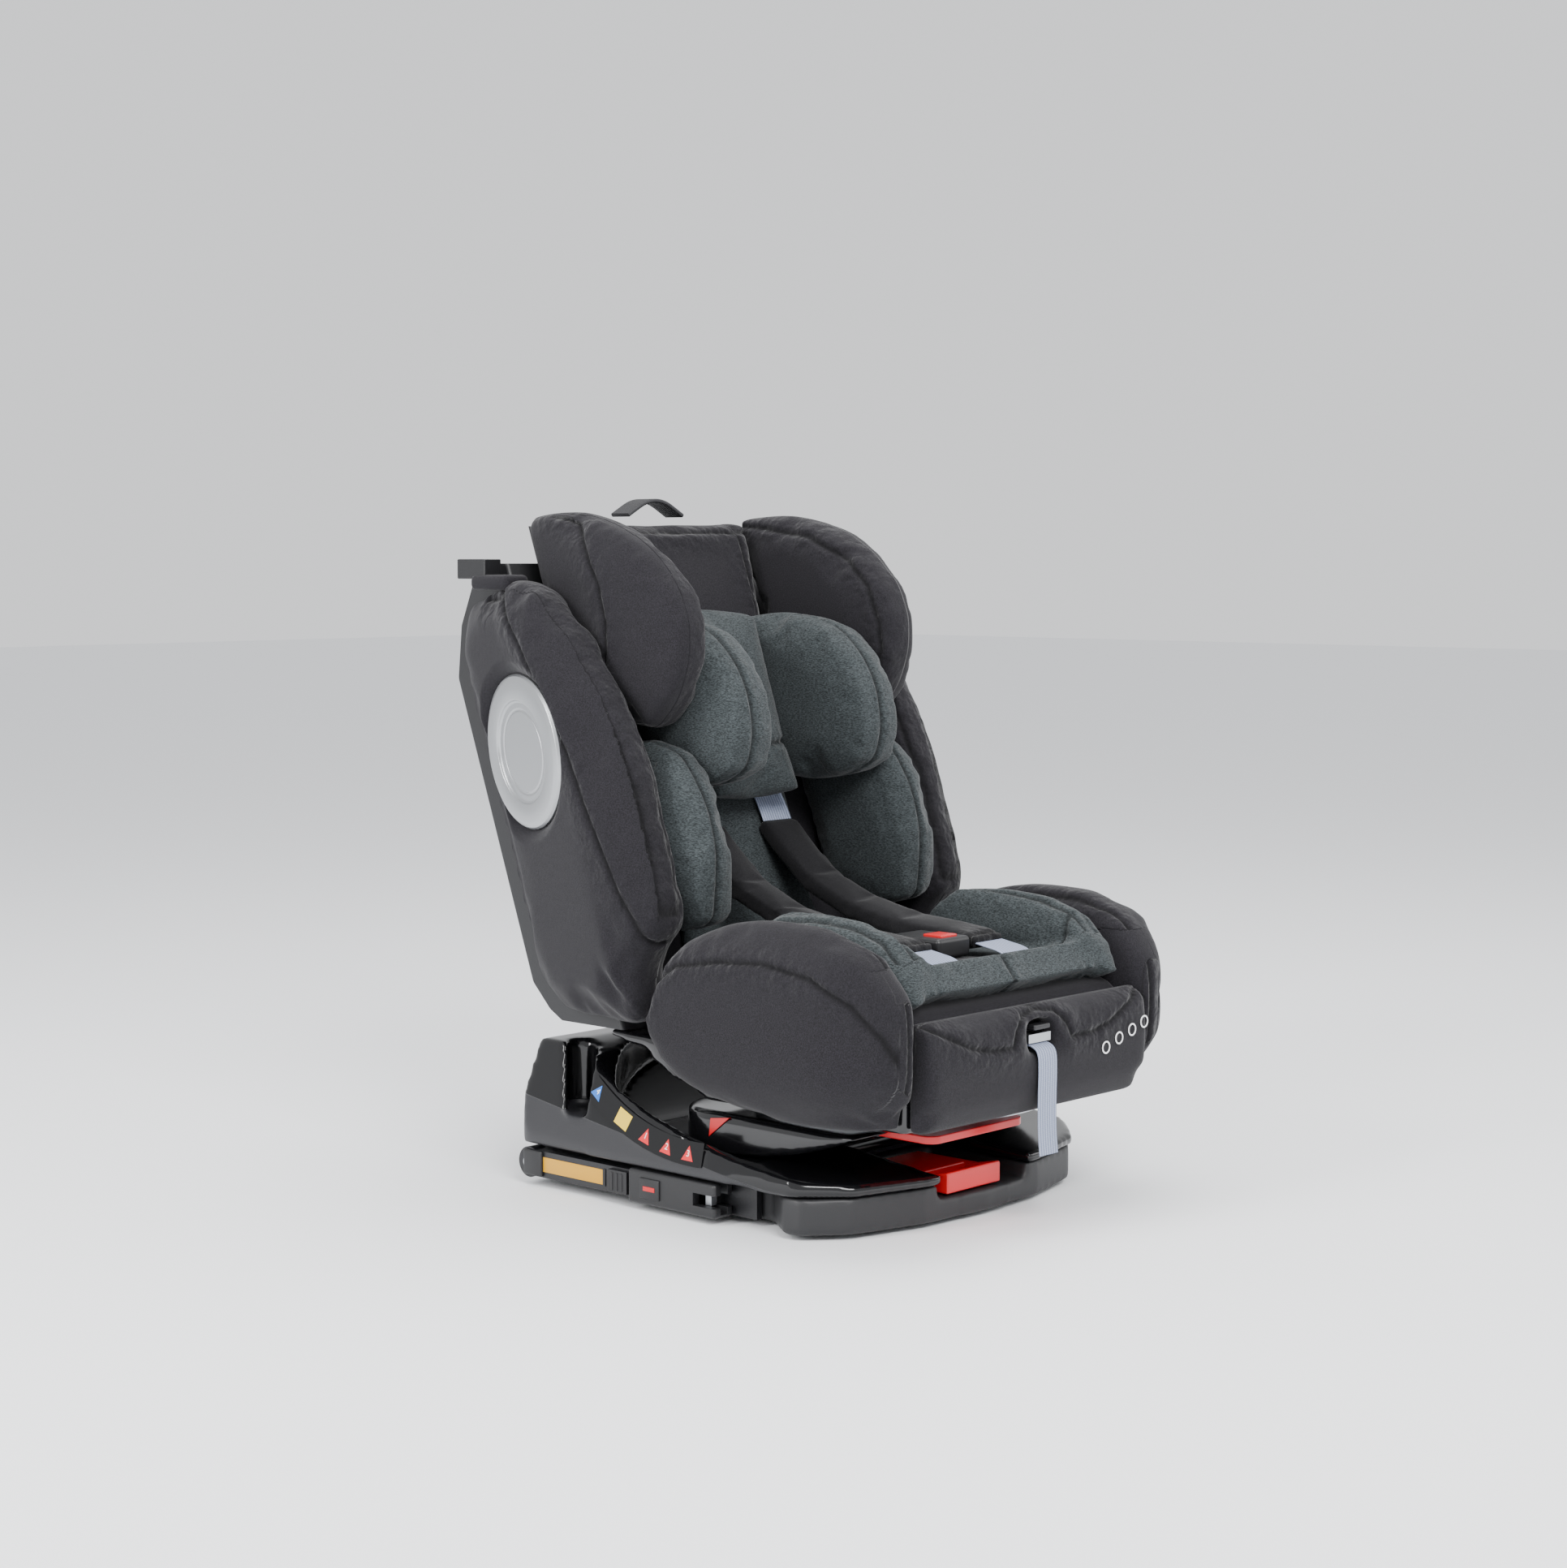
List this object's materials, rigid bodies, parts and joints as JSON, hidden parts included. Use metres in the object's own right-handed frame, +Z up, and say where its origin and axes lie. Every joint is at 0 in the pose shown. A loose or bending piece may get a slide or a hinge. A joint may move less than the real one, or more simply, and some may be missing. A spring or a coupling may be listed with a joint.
{
  "type": "convertible car seat",
  "caption": "Convertible child car seat: padded shell with side wings, height-adjustable headrest and harness on a swivelling, reclining ISOFIX base.",
  "frame": {"origin": "on the floor, at the middle of the base's central rubber pad", "axes": "+Z up; the child faces -Y; +X is to the right of someone standing in front; symmetric about x = 0"},
  "size_m": [0.4448, 0.5604, 0.624],
  "materials": {
    "black_textured_pp": "fine spark-eroded texture",
    "black_gloss_pp": "polished mould",
    "red_abs": "moulded",
    "silver_abs": "satin silver paint",
    "scale_black": "printed in-mould label",
    "black_pa": "glass-filled nylon",
    "steel_black": "black powder coat",
    "steel_zinc": "zinc plated",
    "rubber_black": "moulded",
    "jersey_charcoal": "brushed jersey on foam",
    "melange_grey": "melange knit on wadding",
    "webbing_grey": "ribbed polyester webbing",
    "webbing_black": "polyester webbing"
  },
  "bodies": {
    "base": {"base_tray": "black_textured_pp", "base_housing": "black_gloss_pp", "base_feet": "rubber_black", "recline_scale": "scale_black", "isofix_frame": "steel_black", "isofix_axle": "steel_zinc"},
    "recline_lever": {"recline_lever": "red_abs"},
    "cradle": {"recline_cradle": "black_gloss_pp", "recline_pointer": "red_abs", "bearing_ring": "steel_zinc"},
    "swivel_lever": {"swivel_lever": "red_abs"},
    "seat": {"turntable": "steel_zinc", "seat_shell": "black_gloss_pp", "seat_cushion": "jersey_charcoal", "front_panel": "jersey_charcoal", "adjuster_housing": "steel_zinc", "adjuster_strap": "webbing_grey", "back_shell": "black_textured_pp", "back_cushion": "jersey_charcoal", "back_insert": "melange_grey", "seat_insert": "melange_grey", "crotch_pad": "jersey_charcoal", "buckle": "black_pa", "harness_yoke": "steel_zinc", "seat_wing_left": "jersey_charcoal", "back_wing_left": "jersey_charcoal", "side_disc_left": "silver_abs", "belt_guide_left": "black_pa", "bolster_insert_left": "melange_grey", "shoulder_pad_left": "jersey_charcoal", "harness_strap_left": "webbing_grey", "seat_wing_right": "jersey_charcoal", "back_wing_right": "jersey_charcoal", "side_disc_right": "silver_abs", "belt_guide_right": "black_pa", "bolster_insert_right": "melange_grey", "shoulder_pad_right": "jersey_charcoal", "harness_strap_right": "webbing_grey"},
    "adjuster_button": {"adjuster_button": "black_pa"},
    "buckle_button": {"buckle_button": "red_abs"},
    "headrest": {"headrest_shell": "black_textured_pp", "headrest_panel": "jersey_charcoal", "head_pillow": "melange_grey", "headrest_wing_left": "jersey_charcoal", "pillow_ear_left": "melange_grey", "headrest_wing_right": "jersey_charcoal", "pillow_ear_right": "melange_grey"},
    "pull_loop": {"pull_loop": "webbing_black"},
    "isofix_arm_left": {"isofix_arm_left": "steel_black", "isofix_connector_left": "black_pa"},
    "isofix_hook_left": {"isofix_hook_left": "steel_zinc"},
    "isofix_release_left": {"isofix_release_left": "black_pa"},
    "isofix_arm_right": {"isofix_arm_right": "steel_black", "isofix_connector_right": "black_pa"},
    "isofix_hook_right": {"isofix_hook_right": "steel_zinc"},
    "isofix_release_right": {"isofix_release_right": "black_pa"}
  },
  "joints": [
    {"name": "recline", "type": "hinge", "parent": "base", "child": "cradle", "pos_m": [0, -0.014, 0.455], "axis": [1, 0, 0], "range_deg": [0, 8]},
    {"name": "swivel", "type": "hinge", "parent": "cradle", "child": "seat", "pos_m": [0, -0.09, 0.09], "axis": [0, 0, 1], "continuous": true},
    {"name": "headrest_height", "type": "slide", "parent": "seat", "child": "headrest", "axis": [0, 0.342, 0.9397], "range_m": [0, 0.12]},
    {"name": "headrest_pull", "type": "slide", "parent": "headrest", "child": "pull_loop", "axis": [0, 0.342, 0.9397], "range_m": [0, 0.012], "stiffness_N_per_m": 500, "springref_m": -0.003},
    {"name": "recline_pull", "type": "slide", "parent": "base", "child": "recline_lever", "axis": [0, -1, 0], "range_m": [0, 0.012], "stiffness_N_per_m": 1200, "springref_m": -0.004},
    {"name": "swivel_pull", "type": "slide", "parent": "cradle", "child": "swivel_lever", "axis": [0, -1, 0], "range_m": [0, 0.01], "stiffness_N_per_m": 1200, "springref_m": -0.004},
    {"name": "buckle_press", "type": "slide", "parent": "seat", "child": "buckle_button", "axis": [0, 0, -1], "range_m": [0, 0.003], "stiffness_N_per_m": 3000, "springref_m": -0.0015},
    {"name": "adjuster_press", "type": "slide", "parent": "seat", "child": "adjuster_button", "axis": [0, 0, -1], "range_m": [0, 0.003], "stiffness_N_per_m": 2500, "springref_m": -0.0015},
    {"name": "isofix_swing_left", "type": "hinge", "parent": "base", "child": "isofix_arm_left", "pos_m": [-0.179, 0.195, 0.021], "axis": [1, 0, 0], "range_deg": [0, 180]},
    {"name": "isofix_release_left", "type": "slide", "parent": "isofix_arm_left", "child": "isofix_release_left", "axis": [0, 1, 0], "range_m": [0, 0.006], "stiffness_N_per_m": 800, "springref_m": -0.003},
    {"name": "isofix_hook_left", "type": "hinge", "parent": "isofix_arm_left", "child": "isofix_hook_left", "pos_m": [-0.179, 0.004, 0.026], "axis": [1, 0, 0], "range_deg": [-12, 0]},
    {"name": "isofix_swing_right", "type": "hinge", "parent": "base", "child": "isofix_arm_right", "pos_m": [0.179, 0.195, 0.021], "axis": [1, 0, 0], "range_deg": [0, 180]},
    {"name": "isofix_release_right", "type": "slide", "parent": "isofix_arm_right", "child": "isofix_release_right", "axis": [0, 1, 0], "range_m": [0, 0.006], "stiffness_N_per_m": 800, "springref_m": -0.003},
    {"name": "isofix_hook_right", "type": "hinge", "parent": "isofix_arm_right", "child": "isofix_hook_right", "pos_m": [0.179, 0.004, 0.026], "axis": [1, 0, 0], "range_deg": [-12, 0]}
  ],
  "couplings": [
    {"joint": "isofix_hook_left", "follows": "isofix_release_left", "rad_per_m": -34.5},
    {"joint": "isofix_hook_right", "follows": "isofix_release_right", "rad_per_m": -34.5}
  ]
}
